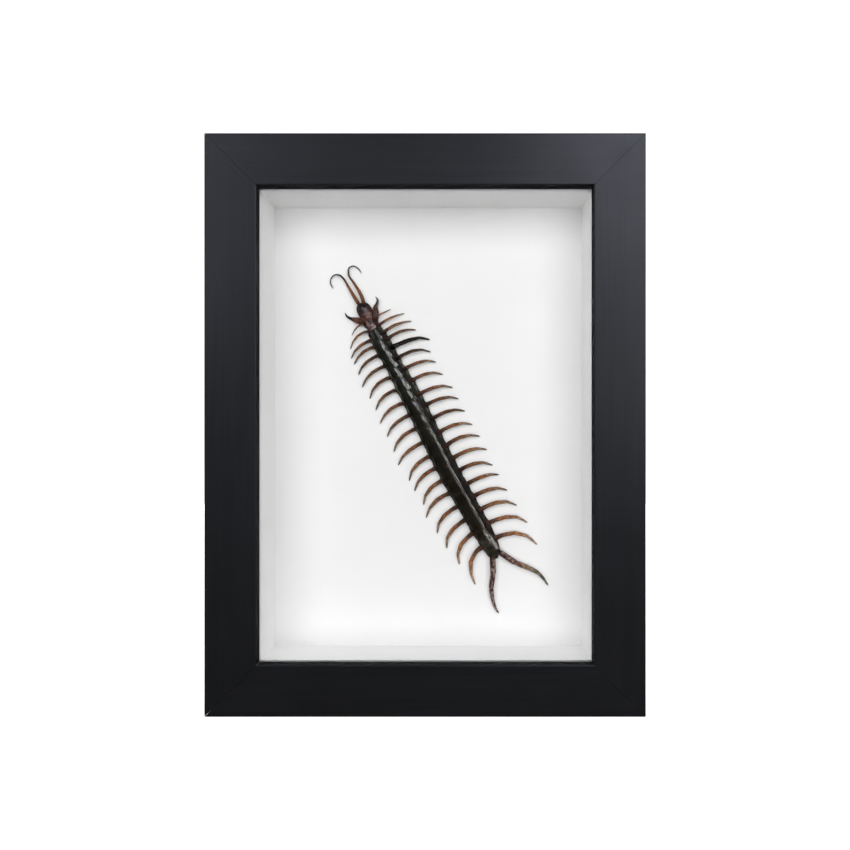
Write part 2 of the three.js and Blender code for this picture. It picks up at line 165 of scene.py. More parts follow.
# Walking legs: where each pair leaves the trunk, then, for the right leg and for the left one,
# [how far out its tip is, how far behind its root, how far forwards it bows, how light its colour is]
LEGS = [
    [8.5, [9.5, -1, 1, 0.80], [9, 1, 2.5, 0.65]],
    [11.5, [13.5, 0, 1, 0.75], [12, 2.5, 2.5, 0.70]],
    [15, [14.5, 0.5, 1.5, 0.55], [13.5, 2.5, 1.5, 0.50]],
    [18, [14.5, 1.5, 1.5, 0.45], [13.5, 2, 2, 0.45]],
    [21.5, [17.5, 4, -0.5, 0.0], [14, 3, 1, 0.30]],
    [26.5, [15.5, 3.5, 1, 0.20], [15, 3, 1.5, 0.40]],
    [31.5, [15.5, 3, 0.5, 0.55], [14.5, 3.5, 2, 0.45]],
    [37, [15.5, 3, 1, 0.60], [14.5, 3, 2, 0.50]],
    [43, [16.5, 3.5, 0.5, 0.55], [15.5, 2.5, 2.5, 0.65]],
    [48, [16.5, 3.5, 0.5, 0.40], [15.5, 3.5, 1, 0.50]],
    [54, [16.5, 3, 1, 0.35], [16, 4, 1.5, 0.60]],
    [60, [16.5, 3, 1, 0.65], [17, 3.5, 1, 0.65]],
    [66, [17, 2.5, 2, 0.60], [16, 5, 1, 0.65]],
    [71.5, [17, 3, 1, 0.75], [16, 4, 1.5, 0.60]],
    [77, [16, 4, 1, 0.55], [15.5, 5, 1.5, 0.65]],
    [83, [16.5, 2.5, 0.5, 0.60], [17, 4, 2.5, 0.70]],
    [88.5, [16.5, 4, 0.5, 0.65], [16, 6, 0.5, 0.65]],
    [94.5, [17, 5, 1, 0.80], [15.5, 7, 0, 0.70]],
    [100.5, [17.5, 7, 0, 0.85], [14, 9, -0.5, 0.95]],
    [107, [16.8, 10, 0.2, 1.0], [12.3, 12.5, 0, 1.0]],
]
LEG_ROOT_SHARE = 0.6  # where a leg starts inside the trunk, as a share of its half width
LEG_STAGGER = 0.27  # right legs start this much further forwards, and left ones further back
LEG_HEIGHTS = (1.6, 3, 1.6, 0.5)  # of the four points that shape a leg's curve
LEG_JOINTS = [0.0, 0.12, 0.2, 0.42, 0.58, 0.73, 0.88, 0.96, 1.0]
LEG_CORNERS = [0.0, 0.2, 0.46, 0.73, 1.0]  # where a leg bends most
# Radii of limbs in these lists: [share of the length, radius]
LEG_RADII = [[0, 0.95], [0.12, 0.86], [0.25, 0.72], [0.5, 0.70], [0.62, 0.62], [0.73, 0.50],
             [0.86, 0.40], [0.95, 0.31], [0.985, 0.2], [1, 0.03]]
LEG_STOUTNESS = [[1, 0.5], [2, 0.72], [3, 0.86], [20, 1.14]]  # [pair, share of the radii]
THICK_LEG = (5, 1, 1.32)  # pair, side, share: the black fifth leg on the right is swollen

# Other limbs: points [out to the right, back, height above the card]
ANTENNA_RIGHT = [[1.1, 1.2, 1.7], [1.8, -2.5, 1.7], [1.6, -7.5, 1.5], [1.4, -12.6, 1.3],
                 [2.6, -14.4, 1.2], [4.4, -14.4, 1.1], [5.7, -12.6, 1], [6, -10.2, 0.9]]
ANTENNA_LEFT = [[-0.6, 1.2, 1.7], [-0.9, -3.5, 1.7], [-1.1, -8, 1.5], [-1.3, -11.8, 1.3],
                [-2.3, -14, 1.2], [-4.2, -14.7, 1.1], [-6, -13.8, 1], [-6.8, -12, 0.9], [-6.6, -10.2, 0.8]]
ANTENNA_RADII = [[0, 0.74], [0.12, 0.72], [0.25, 0.62], [0.38, 0.5], [0.48, 0.43], [0.56, 0.38],
                 [0.7, 0.3], [0.84, 0.24], [0.96, 0.19], [1, 0.02]]
ANTENNA_ARTICLES = 19
FORCIPULE_RIGHT = [[1, 9.4, 1.3], [2.7, 7.6, 1.3], [3.8, 5.6, 1.3], [4.8, 3.9, 1.3],
                   [6, 3, 1.2], [6.7, 1.9, 1], [6.5, 0.2, 0.8]]
FORCIPULE_LEFT = [[-0.8, 8.6, 1.3], [-2.8, 6.7, 1.3], [-4.6, 5.1, 1.3], [-5.9, 3.8, 1.3],
                  [-6.8, 2.8, 1.2], [-7.2, 1.6, 1], [-7.1, 0.2, 0.8]]
FORCIPULE_JOINTS = [0.0, 0.5, 0.57, 0.64, 1.0]
FORCIPULE_RADII = [[0, 1.1], [0.2, 1.42], [0.4, 1.3], [0.55, 1.0], [0.64, 0.66], [0.8, 0.44],
                   [0.92, 0.24], [1, 0.02]]
LAST_LEG_RIGHT = [[1.2, 109.5, 1.8], [2.4, 112.5, 2], [4.8, 117.2, 2.2], [7.1, 120.5, 2.1],
                  [9.6, 123.4, 1.9], [11.6, 126.2, 1.6], [12.6, 129.4, 1.1], [13, 133.4, 0.7]]
LAST_LEG_LEFT = [[-0.6, 109, 1.8], [-0.8, 112.2, 2], [-2.1, 115, 2.2], [-3.4, 117.8, 2.2],
                 [-5.1, 120.2, 2.1], [-6.7, 122.4, 1.9], [-8, 125, 1.6], [-9, 128, 1.3], [-9.6, 130.8, 1],
                 [-9.4, 133.8, 0.7]]
LAST_LEG_JOINTS = [0.0, 0.1, 0.4, 0.6, 0.76, 0.9, 1.0]
LAST_LEG_RADII = [[0, 1.15], [0.2, 1.15], [0.4, 1.08], [0.6, 0.92], [0.76, 0.72], [0.9, 0.50],
                  [0.97, 0.34], [1, 0.04]]

# The head plate
HEAD_LENGTH = 8.2
HEAD_HALF_WIDTH = 2.95
HEAD_OFFSET = 0.15  # the head lies a little to the right of the middle line
HEAD_MIDDLE = 1.4
HEAD_RISE = 1.5
HEAD_ROLL = 0.28  # slope down to the right
HEAD_FURROW = 0.08
# Jaw base under the head: [front, length, to the right, half width, height of its middle, half height]
JAW_BASE = (4.6, 6.6, 0.1, 3.15, 1.15, 0.95)
# Eyes: [out from the head's middle, back], and their size
EYES = [[1.9, 1.15], [2.15, 1.5], [2.02, 1.85], [2.35, 1.95]]
EYE_RADIUS = 0.17
EYE_RISE = 0.62  # above the head's middle


# Camera and studio

def add_camera():
    """Looks straight at the frame from a little to the right and below its middle."""
    low, high = CAD_BOUNDS
    middle = (low + high) / 2
    data = bpy.data.cameras.new("camera")
    camera = bpy.data.objects.new("camera", data)
    camera.location = (middle.x + VIEW_RIGHT, low.y - VIEW_DISTANCE, middle.z - VIEW_DOWN)
    camera.rotation_euler = (math.pi / 2, 0, 0)
    data.sensor_width = SENSOR_WIDTH
    data.lens = SENSOR_WIDTH * VIEW_DISTANCE / PICTURE_WIDTH
    data.shift_x = -VIEW_RIGHT / PICTURE_WIDTH
    data.shift_y = VIEW_DOWN / PICTURE_WIDTH
    data.clip_start = 0.01
    bpy.context.scene.collection.objects.link(camera)
    bpy.context.scene.camera = camera


def add_area(name, place, target, size, power, mirrored):
    """A soft light: mirrored ones show only in gloss and through glass, others only light surfaces."""
    data = bpy.data.lights.new(name, "AREA")
    data.shape = "RECTANGLE"
    data.size, data.size_y = size
    data.energy = power
    light = bpy.data.objects.new(name, data)
    light.location = place
    light.rotation_euler = (Vector(target) - Vector(place)).to_track_quat("-Z", "Y").to_euler()
    light.visible_glossy = mirrored
    light.visible_transmission = mirrored
    light.visible_diffuse = not mirrored
    light.visible_camera = False
    bpy.context.scene.collection.objects.link(light)
    return light


def add_world():
    """Soft light from above: dim below the horizon, brighter with height."""
    world = bpy.data.worlds.new("studio_light")
    bpy.context.scene.world = world
    world.use_nodes = True
    place = add_node(world, "TexCoord").outputs["Generated"]
    height = add_node(world, "SeparateXYZ", {"Vector": place}).outputs["Z"]
    settings = {"Value": height, "From Min": -0.25, "From Max": 0.6, "To Min": 0.02, "To Max": 0.22}
    strength = add_node(world, "MapRange", settings, interpolation_type="SMOOTHSTEP").outputs["Result"]
    sky = world.node_tree.nodes["Background"]
    sky.inputs["Color"].default_value = (0.97, 0.98, 1.0, 1)
    world.node_tree.links.new(strength, sky.inputs["Strength"])


def add_stage():
    """A pale floor and a white dome, which only the camera sees."""
    pale = new_material("stage_floor", Base_Color=(0.8, 0.8, 0.8, 1), Roughness=0.9,
                        Emission_Color=(1, 1, 1, 1), Emission_Strength=1.0)
    bpy.ops.mesh.primitive_circle_add(vertices=96, radius=STAGE_RADIUS, fill_type="NGON",
                                      location=(0, 0, -FLOOR_DROP))
    floor = bpy.context.object
    floor.name = "floor"
    floor.data.materials.append(pale)

    white = new_material("stage_dome", Base_Color=(0, 0, 0, 1), Specular_IOR_Level=0,
                         Emission_Color=(1, 1, 1, 1), Emission_Strength=1.05)
    bpy.ops.mesh.primitive_uv_sphere_add(segments=64, ring_count=32, radius=STAGE_RADIUS - 0.1)
    dome = bpy.context.object
    dome.name = "backdrop"
    dome.data.materials.append(white)
    dome.visible_shadow = False
    for thing in (floor, dome):
        for way in ("visible_diffuse", "visible_glossy", "visible_transmission"):
            setattr(thing, way, False)


def add_lights():
    """A strip on the right gives the glints, boxes give the sheen, and broad lights the rest."""
    for name, place, target, size, power, mirrored in LIGHTS:
        light = add_area(name, place, target, size, power, mirrored)
        if name in LEANING_LIGHTS:
            light.rotation_euler.rotate_axis("Z", -LEAN)
        if name == "key_strip":
            light.data.color = KEY_COLOUR


# Materials

def new_material(name, **settings):
    """A Principled material, with its settings by socket name, spaces written as underscores."""
    made = bpy.data.materials.new(name)
    made.use_nodes = True
    shader = made.node_tree.nodes["Principled BSDF"]
    for socket, value in settings.items():
        shader.inputs[socket.replace("_", " ")].default_value = value
    return made


def add_node(material, kind, inputs=(), **options):
    """A node with its inputs set, each from a value or from another node's output."""
    tree = material.node_tree
    node = tree.nodes.new("ShaderNode" + kind)
    for option, value in options.items():
        setattr(node, option, value)
    for socket, value in dict(inputs).items():
        if isinstance(value, bpy.types.NodeSocket):
            tree.links.new(value, node.inputs[socket])
        else:
            node.inputs[socket].default_value = value
    return node


def to_shader(material, socket, value):
    """Links a node's output to a socket of the material's shader."""
    material.node_tree.links.new(value, material.node_tree.nodes["Principled BSDF"].inputs[socket])


def base_colour(material):
    """What is linked to the shader's base colour."""
    return material.node_tree.nodes["Principled BSDF"].inputs["Base Color"].links[0].from_socket


def math_of(material, operation, first, second=0.0):
    """What an operation makes of two values, each a number or another node's output."""
    return add_node(material, "Math", {0: first, 1: second}, operation=operation).outputs[0]


def noise_at(material, scale, stretch=(1, 1, 1), detail=3.0, rough=0.55):
    """Noise in space, stretched along an axis by a small number there."""
    place = add_node(material, "TexCoord").outputs["Object"]
    mapped = add_node(material, "Mapping", {"Vector": place, "Scale": stretch}).outputs["Vector"]
    settings = {"Vector": mapped, "Scale": scale, "Detail": detail, "Roughness": rough}
    return add_node(material, "TexNoise", settings).outputs["Fac"]


def mapped_range(material, value, low, high, start=0.3, end=0.7):
    """From low to high while the value goes from start to end."""
    settings = {"Value": value, "From Min": start, "From Max": end, "To Min": low, "To Max": high}
    return add_node(material, "MapRange", settings).outputs["Result"]


def ramp_of(material, value, stops):
    """A colour that changes with a value: stops are [place, (red, green, blue)]."""
    node = add_node(material, "ValToRGB", {"Fac": value})
    elements = node.color_ramp.elements
    while len(elements) < len(stops):
        elements.new(0.5)
    for element, (place, colour) in zip(elements, stops):
        element.position = place
        element.color = (*colour, 1)
    return node.outputs["Color"]


def mixed(material, share, first, second, blend="MIX"):
    """One colour turned into another by a share, each of them a value or another node's output."""
    node = material.node_tree.nodes.new("ShaderNodeMix")
    node.data_type = "RGBA"
    node.blend_type = blend
    colours = [socket for socket in node.inputs if socket.type == "RGBA"]
    for socket, value in ((node.inputs["Factor"], share), (colours[0], first), (colours[1], second)):
        if isinstance(value, bpy.types.NodeSocket):
            material.node_tree.links.new(value, socket)
        else:
            socket.default_value = value if isinstance(value, (int, float)) else (*value, 1)
    return next(socket for socket in node.outputs if socket.type == "RGBA")


def bump_with(material, height, strength, distance):
    """Fine relief: the distance is in metres."""
    settings = {"Height": height, "Strength": strength, "Distance": distance}
    to_shader(material, "Normal", add_node(material, "Bump", settings).outputs["Normal"])


def attribute(material, name):
    """A number that the mesh carries at each point."""
    return add_node(material, "Attribute", attribute_name=name).outputs["Fac"]


def lacquer(name, grain):
    """Satin black paint over wood, its faint grain along the rail, dull on the edges round the opening."""
    made = new_material(name, Specular_Tint=(0.79, 0.83, 1.0, 1), Specular_IOR_Level=0.42)
    streaks = noise_at(made, 900, grain, 4.0)
    cloud = noise_at(made, 35)
    inside = inside_opening(made)
    base = ramp_of(made, streaks, [[0.3, (0.0042, 0.0042, 0.0046)], [0.7, (0.0068, 0.0068, 0.0074)]])
    to_shader(made, "Base Color", mixed(made, inside, base, (0.002, 0.002, 0.002)))
    satin = mapped_range(made, cloud, 0.34, 0.42)
    to_shader(made, "Roughness", math_of(made, "MAXIMUM", satin, inside))
    bump_with(made, streaks, 0.12, 0.00012)
    return made


def inside_opening(material):
    """One on the narrow faces round the opening, zero on the rest of the frame."""
    low, high = CAD_BOUNDS
    place = add_node(material, "NewGeometry").outputs["Position"]
    split = add_node(material, "SeparateXYZ", {"Vector": place})
    middle = (low.z + high.z) / 2
    across = math_of(material, "ABSOLUTE", split.outputs["X"])
    above = math_of(material, "SUBTRACT", split.outputs["Z"], middle)
    upright = math_of(material, "ABSOLUTE", above)
    rim = RAIL_FACE - 0.02 * MM
    near_sides = math_of(material, "LESS_THAN", across, high.x - rim)
    near_ends = math_of(material, "LESS_THAN", upright, middle - rim)
    return math_of(material, "MULTIPLY", near_sides, near_ends)


def paper(name, tone, gloss=0.9, shine=0.25):
    """White paper or card with a fine tooth."""
    made = new_material(name, Roughness=gloss, Specular_IOR_Level=shine)
    tooth = noise_at(made, 2600, detail=4.0, rough=0.7)
    cloud = noise_at(made, 60)
    light = [[0.25, tuple(c * 0.985 for c in tone)], [0.75, tone]]
    to_shader(made, "Base Color", ramp_of(made, cloud, light))
    bump_with(made, tooth, 0.12, 0.00005)
    return made


def fibreboard():
    """Pressed brown fibre, flecked light and dark."""
    made = new_material("fibreboard", Roughness=0.75, Specular_IOR_Level=0.3)
    fibres = noise_at(made, 700, (1, 1, 0.35), 6.0, 0.75)
    flecks = noise_at(made, 2600, rough=0.6)
    brown = ramp_of(made, fibres, [[0.3, (0.13, 0.068, 0.03)], [0.5, (0.21, 0.12, 0.06)],
                                   [0.72, (0.33, 0.21, 0.115)]])
    dark = ramp_of(made, flecks, [[0.32, (0.35, 0.3, 0.27)], [0.42, (1, 1, 1)]])
    to_shader(made, "Base Color", mixed(made, 0.8, brown, dark, "MULTIPLY"))
    bump_with(made, fibres, 0.3, 0.0002)
    return made


def steel():
    """Zinc-plated sheet: bright, with the rolling's fine lines and a few dull clouds."""
    made = new_material("zinc_steel", Metallic=1.0)
    lines = noise_at(made, 1500, (0.06, 1, 1), 4.0, 0.6)
    cloud = noise_at(made, 260)
    grey = ramp_of(made, cloud, [[0.3, (0.42, 0.43, 0.44)], [0.7, (0.62, 0.63, 0.65)]])
    to_shader(made, "Base Color", grey)
    to_shader(made, "Roughness", mapped_range(made, lines, 0.32, 0.5))
    bump_with(made, lines, 0.1, 0.00004)
    return made


def glass():
    """Clear picture glass."""
    return new_material("clear_glass", Base_Color=(0.95, 0.97, 0.96, 1), Roughness=0.02, IOR=1.5,
                        Transmission_Weight=1.0, Alpha=0.01)


def cuticle(name, stops, gloss=0.3, shine=0.45, speck=0.25, wrinkle=0.08):
    """Dried cuticle: colour runs along the piece, broken up by blotches, over fine pits and creases."""
    made = new_material(name, Roughness=gloss, IOR=1.5, Specular_IOR_Level=shine)
    base = ramp_of(made, attribute(made, "along"), stops)
    blotch = noise_at(made, 420, detail=5.0, rough=0.65)
    shade = ramp_of(made, blotch, [[0.3, (1 - speck,) * 3], [0.7, (1 + speck,) * 3]])
    to_shader(made, "Base Color", mixed(made, 1.0, base, shade, "MULTIPLY"))
    pits = noise_at(made, 2400, detail=4.0, rough=0.6)
    to_shader(made, "Roughness", mapped_range(made, blotch, gloss - 0.06, gloss + 0.1))
    bump_with(made, pits, wrinkle, 0.00008)
    return made


def dress_frame():
    """Gives each CAD node of the frame its finish."""
    across = lacquer("black_lacquer_across", (0.03, 1, 1))
    upright = lacquer("black_lacquer_upright", (1, 1, 0.03))
    rails = {"rail_top": across, "rail_bottom": across, "rail_left": upright, "rail_right": upright}
    finishes = {
        **rails,
        "glass_pane": glass(),
        "mount_card": paper("white_card", CARD_WHITE),
        "back_board": fibreboard(),
    }
    strip = paper("white_liner", LINER_WHITE, 0.42, 0.6)
    metal = steel()
    for name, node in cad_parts.items():
        if name.startswith("liner"):
            finishes[name] = strip
        elif name.startswith(("retaining", "hanger")):
            finishes[name] = metal
        if name in finishes:
            node.data.materials.clear()
            node.data.materials.append(finishes[name])
    for name in rails:
        soften(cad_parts[name], RAIL_ROUNDING)


def soften(node, width):
    """Rounds a node's sharp edges a little."""
    bevel = node.modifiers.new("soft_edges", "BEVEL")
    bevel.width = width
    bevel.segments = 2
    bevel.limit_method = "ANGLE"
    bevel.angle_limit = math.radians(40)


# Shapes of the animal

def between(stations, at):
    """The value at a distance, between [distance, value] stations, without corners."""
    place, value = np.array(stations, float).T
    at = np.asarray(at, float)
    slope = np.gradient(value, place)
    i = np.clip(np.searchsorted(place, at) - 1, 0, len(place) - 2)
    step = place[i + 1] - place[i]
    t = np.clip((at - place[i]) / step, 0, 1)
    blend = t * t * (3 - 2 * t)
    bow = t * (1 - t) * step * ((1 - t) * slope[i] - t * slope[i + 1])
    return (1 - blend) * value[i] + blend * value[i + 1] + bow


def half_width(back):
    """Half the trunk's width at a distance."""
    return between(HALF_WIDTHS, back)


def sideways(back):
    """How far the trunk's middle lies to the right at a distance."""
    return BEND_WIDTH * np.sin(2 * np.pi * np.maximum(0, back - BEND_START) / BEND_LENGTH)


def sides(back):
    """Left and right edges of the plates at a distance."""
    table = np.array(PLATE_SIDES, float)
    return [between(table[:, [0, k]], back) for k in (1, 2)]


def section(back):
    """Crest, drop, power and groove of the plates' section, at a distance."""
    table = np.array(PLATE_SECTIONS, float)
    return [between(table[:, [0, k]], back) for k in (1, 2, 3, 4)]


def in_world(points):
    """Points [out, back, height] in millimetres on the animal, as points in metres in the frame."""
    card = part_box("mount_card")[0].y
    out, back, height = np.moveaxis(np.asarray(points, float), -1, 0)
    x = HEAD_FRONT[0] + out * math.cos(LEAN) + back * math.sin(LEAN)
    z = HEAD_FRONT[1] + out * math.sin(LEAN) - back * math.cos(LEAN)
    y = np.full_like(x, card / MM) - height
    return np.stack([x, y, z], axis=-1) * MM


class Skin:
    """Gathers closed sheets of points into one mesh, with numbers for the materials at each point."""

    def __init__(self):
        self.points, self.faces, self.kinds = [], [], []
        self.marks = {"along": [], "tone": [], "joint": []}
        self.count = 0

    def add_points(self, points, marks):
        """Adds points with their numbers, and says the number of the first one."""
        flat = np.asarray(points, float).reshape(-1, 3)
        self.points.append(flat)
        for name, values in self.marks.items():
            given = np.asarray(marks.get(name, 0.0), float)
            values.append(np.broadcast_to(given, np.shape(points)[:-1]).reshape(-1))
        first = self.count
        self.count += len(flat)
        return first

    def add_faces(self, faces, kind):
        """Adds faces of one material."""
        self.faces.extend(faces)
        self.kinds.extend([kind] * len(faces))

    def sheet_faces(self, index, kind):
        """Quads between neighbouring rows and columns of a grid of point numbers."""
        quads = np.stack([index[:-1, :-1], index[:-1, 1:], index[1:, 1:], index[1:, :-1]], axis=-1)
        self.add_faces(quads.reshape(-1, 4).tolist(), kind)

    def tube(self, rings, kind, **marks):
        """Rings [i, j] of points, each closed on itself, with both ends closed to a point."""
        rows, columns = rings.shape[:2]
        first = self.add_points(rings, marks)
        index = first + np.arange(rows * columns).reshape(rows, columns)
        self.sheet_faces(np.concatenate([index, index[:, :1]], axis=1), kind)
        for row, order in ((0, 1), (rows - 1, -1)):
            ends = {name: np.asarray(values)[row].mean() for name, values in marks.items()
                    if np.ndim(values) and len(values) == rows}
            ends.update({name: values for name, values in marks.items() if not np.ndim(values)})
            tip = self.add_points(rings[row].mean(axis=0)[None], ends)
            ring = np.append(index[row], index[row][0])[::order]
            self.add_faces([[int(a), int(b), tip] for a, b in zip(ring[1:], ring[:-1])], kind)

    def plate(self, top, bottom, kind, **marks):
        """A thin closed plate between two sheets of points of one shape."""
        rows, columns = top.shape[:2]
        size = rows * columns
        upper = self.add_points(top, marks) + np.arange(size).reshape(rows, columns)
        lower = self.add_points(bottom, marks) + np.arange(size).reshape(rows, columns)
        self.sheet_faces(upper, kind)
        self.sheet_faces(lower[:, ::-1], kind)
        border = [(upper[0], lower[0]), (upper[-1][::-1], lower[-1][::-1]),
                  (upper[::-1, 0], lower[::-1, 0]), (upper[:, -1], lower[:, -1])]
        for edge, under in border:
            self.sheet_faces(np.stack([under, edge]), kind)

    def finish(self, name, materials):
        """Makes the object, on the frame and in place of the CAD centipede."""
        mesh = bpy.data.meshes.new(name)
        mesh.from_pydata(in_world(np.concatenate(self.points)).tolist(), [], self.faces)
        mesh.polygons.foreach_set("material_index", self.kinds)
        mesh.polygons.foreach_set("use_smooth", [True] * len(self.faces))
        for mark, values in self.marks.items():
            layer = mesh.attributes.new(mark, "FLOAT", "POINT")
            layer.data.foreach_set("value", np.concatenate(values).astype(np.float32))
        for material in materials:
            mesh.materials.append(material)
        face_outwards(mesh)
        made = bpy.data.objects.new(name, mesh)
        bpy.context.scene.collection.objects.link(made)
        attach(made, "root")
        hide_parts("centipede")


def face_outwards(mesh):
    """Turns each closed sheet's faces outwards."""
    edited = bmesh.new()
    edited.from_mesh(mesh)
    bmesh.ops.recalc_face_normals(edited, faces=edited.faces)
    edited.to_mesh(mesh)
    edited.free()
    mesh.update()


def full_turn(count):
    """Angles all the way round."""
    return np.linspace(0, 2 * np.pi, count, endpoint=False)


def rounded_shares(gap, count):
    """Shares of a length, closer together at its ends and a little short of them."""
    return (1 - np.cos(np.linspace(gap, np.pi - gap, count))) / 2


def wobble(points, size, height):
    """Gentle unevenness, the same each run, that a place in millimetres picks."""
    flat = points.reshape(-1, 3)
    values = [noise.noise(Vector(p) / size) for p in flat]
    return height * np.array(values).reshape(points.shape[:-1])


# Trunk

def trunk_section(back):
    """The soft body's closed outline across: [share of its half width, share of the crest's height]."""
    drop = section(back)[1]
    left, right = sides(back)
    high = BODY_HEIGHT - BODY_BREADTH * LEFT_DROP * drop
    low = BODY_HEIGHT - BODY_BREADTH * drop
    return np.array([
        [-1.0, 0.42], [-0.95, 0.65 - 0.2 * drop], [left - 0.02, high], [-0.45, high + 0.03],
        [-0.15, high], [0.2, low + 0.05], [right + 0.02, low], [(right + 0.8) / 2, 0.71 - 0.4 * drop],
        [0.88, 0.57 - 0.25 * drop], [1.0, 0.42], [0.94, 0.18], [0.6, 0.07], [0.0, 0.06], [-0.6, 0.07],
        [-0.94, 0.18],
    ])


def closed_curve(points, count):
    """Points along a smooth closed curve through these."""
    looped = np.concatenate([points[-3:], points, points[:3]])
    place = np.arange(len(looped)) - 3.0
    at = np.linspace(0, len(points), count, endpoint=False)
    return np.stack([between(np.stack([place, looped[:, k]], axis=1), at) for k in (0, 1)], axis=1)


def add_body(skin, kind):
    """The soft body: flanks that swell at each leg and pinch between the legs, and the underside."""
    backs = np.arange(*BODY_REACH, BODY_STEP)
    roots = np.array([row[0] for row in LEGS])
    rings = []
    for back in backs:
        outline = closed_curve(trunk_section(back), BODY_COLUMNS)
        nearest = np.abs(roots - back).min()
        swell = 1 - BODY_PINCH * min(1.0, nearest / PINCH_DISTANCE)
        share = np.abs(outline[:, 0])
        outline[:, 0] *= 1 + (swell - 1) * np.clip((share - 0.4) / 0.5, 0, 1)
        wide = half_width(back)
        height = np.maximum(REST_GAP, outline[:, 1] * between(CREST_HEIGHTS, back))
        out = outline[:, 0] * wide + sideways(back)
        rings.append(np.stack([out, np.full(BODY_COLUMNS, back), height], axis=1))
    rings = np.array(rings)
    rise = wobble(rings, *BODY_FOLDS) + wobble(rings, *BODY_CREASES)
    middle = rings.mean(axis=1, keepdims=True)
    away = rings - middle
    away[:, :, 1] = 0
    away /= np.linalg.norm(away, axis=2, keepdims=True)
    rings += away * (rise - BODY_SHRINK)[:, :, None]
    rings[:, :, 2] = np.maximum(REST_GAP, rings[:, :, 2])
    across = np.abs(rings[:, :, 0] - sideways(backs)[:, None]) / half_width(backs)[:, None]
    along = np.repeat(backs[:, None] / BODY_LENGTH, BODY_COLUMNS, axis=1)
    skin.tube(rings, kind, along=along, tone=across)


def plate_columns():
    """Places across a plate from edge to edge, closer together at its edges."""
    middle = np.linspace(-0.76, 0.76, 41)
    return np.concatenate([np.linspace(-1, -0.8, 11), middle, np.linspace(0.8, 1, 11)])


def add_plate(skin, kind, front, rear, number):
    """A back plate: tucked under the one in front, arched, rimmed at the sides, over the one behind."""
    share, u = np.meshgrid(np.linspace(0, 1, PLATE_ROWS), plate_columns(), indexing="ij")
    corner = np.abs(u) ** 6
    starts = front - PLATE_TUCK + PLATE_CORNERS[0] * corner
    ends = rear + PLATE_OVERHANG - PLATE_CORNERS[1] * corner - PLATE_HOLLOW * (1 - u ** 2)
    back = starts + share * (ends - starts)
    wide = half_width(back)
    crest, drop, power, groove = section(back)
    lean = PLATE_LEAN * math.sin(2.4 * number)
    left, right = sides(back)
    centre = (left + right) / 2
    bulge = PLATE_BULGE * np.sin(np.pi * share)
    reach = (right - left) / 2 * (1 + bulge + PLATE_VARIETY * np.sin(1.7 * number))
    out = (centre + reach * u) * wide + sideways(back)
    size = np.abs(u)
    away = np.abs(np.where(u > crest, (u - crest) / (1 - crest), (crest - u) / (1 + crest)))
    fall = drop * (1.35 - 0.5 * share) * away ** power * np.where(u > crest, 1, LEFT_DROP) + lean * u
    height = between(CREST_HEIGHTS, back) - wide * fall
    height -= wide * RIM[2] * np.clip((size - RIM[0]) / RIM[1], 0, 1) ** 2
    height -= GROOVE[2] * groove * np.exp(-(((size - GROOVE[0]) / GROOVE[1]) ** 2))
    height -= SUTURE[2] * np.exp(-(((size - SUTURE[0]) / SUTURE[1]) ** 2))
    # It starts low under the one in front and rises towards its rear edge, more so on a long plate
    swell = min(1.0, (rear - front) / 5.5)
    height += -0.10 + swell * (0.26 * share ** 1.5 + 0.34 * share * (1 - share))
    top = np.stack([out, back, height], axis=-1)
    top[..., 2] += wobble(top, *PLATE_WAVES)
    bottom = top.copy()
    bottom[..., 2] -= PLATE_THICKNESS
    first = 1.0 if number == 0 else 0.0
    edge = np.clip((share - 0.8) / 0.16, 0, 1)
    skin.plate(top, bottom, kind, along=back / BODY_LENGTH, tone=first, joint=edge)


def add_tail(skin, kind):
    """The small last piece between the last legs, and the bulging bases that those legs leave."""
    share = np.linspace(0.02, 0.98, 24)
    turn = full_turn(28)
    girth = np.sqrt(1 - np.abs(2 * share - 1) ** 2.6)[:, None]
    for out, start, length, wide, high in TAIL_PARTS:
        back = np.repeat((start + share * length)[:, None], len(turn), axis=1)
        across = out + wide * girth * np.cos(turn)
        height = np.maximum(REST_GAP, TAIL_MIDDLE + high * girth * np.sin(turn))
        skin.tube(np.stack([across, back, height], axis=-1), kind, along=back / BODY_LENGTH)


def add_trunk():
    """The soft body with its 21 plates and the tail. Kinds: 0 plate, 1 flank."""
    skin = Skin()
    add_body(skin, 1)
    for number, (front, rear) in enumerate(zip(PLATE_EDGES, PLATE_EDGES[1:])):
        add_plate(skin, 0, front, rear, number)
    add_tail(skin, 1)
    skin.finish("centipede_trunk", [plate_material(), flank_material()])


# Limbs

def smooth_line(points, count=240):
    """Points along a smooth curve through these."""
    points = np.array(points, float)
    steps = np.linalg.norm(np.diff(points, axis=0), axis=1)
    place = np.concatenate([[0], np.cumsum(steps)])
    at = np.linspace(0, place[-1], count)
    return np.stack([between(np.stack([place, points[:, k]], axis=1), at) for k in range(3)], axis=1)


def at_shares(line, shares):
    """Points at these shares of a line's length."""
    steps = np.linalg.norm(np.diff(line, axis=0), axis=1)
    place = np.concatenate([[0], np.cumsum(steps)]) / steps.sum()
    return np.stack([np.interp(shares, place, line[:, k]) for k in range(3)], axis=1)


def article_shares(joints, steps):
    """Places of the rings along a limb, closer together at its joints."""
    local = (1 - np.cos(np.linspace(0, np.pi, steps + 1)[:-1])) / 2
    shares = [a + local * (b - a) for a, b in zip(joints, joints[1:])]
    return np.append(np.concatenate(shares), joints[-1] - 1e-3)


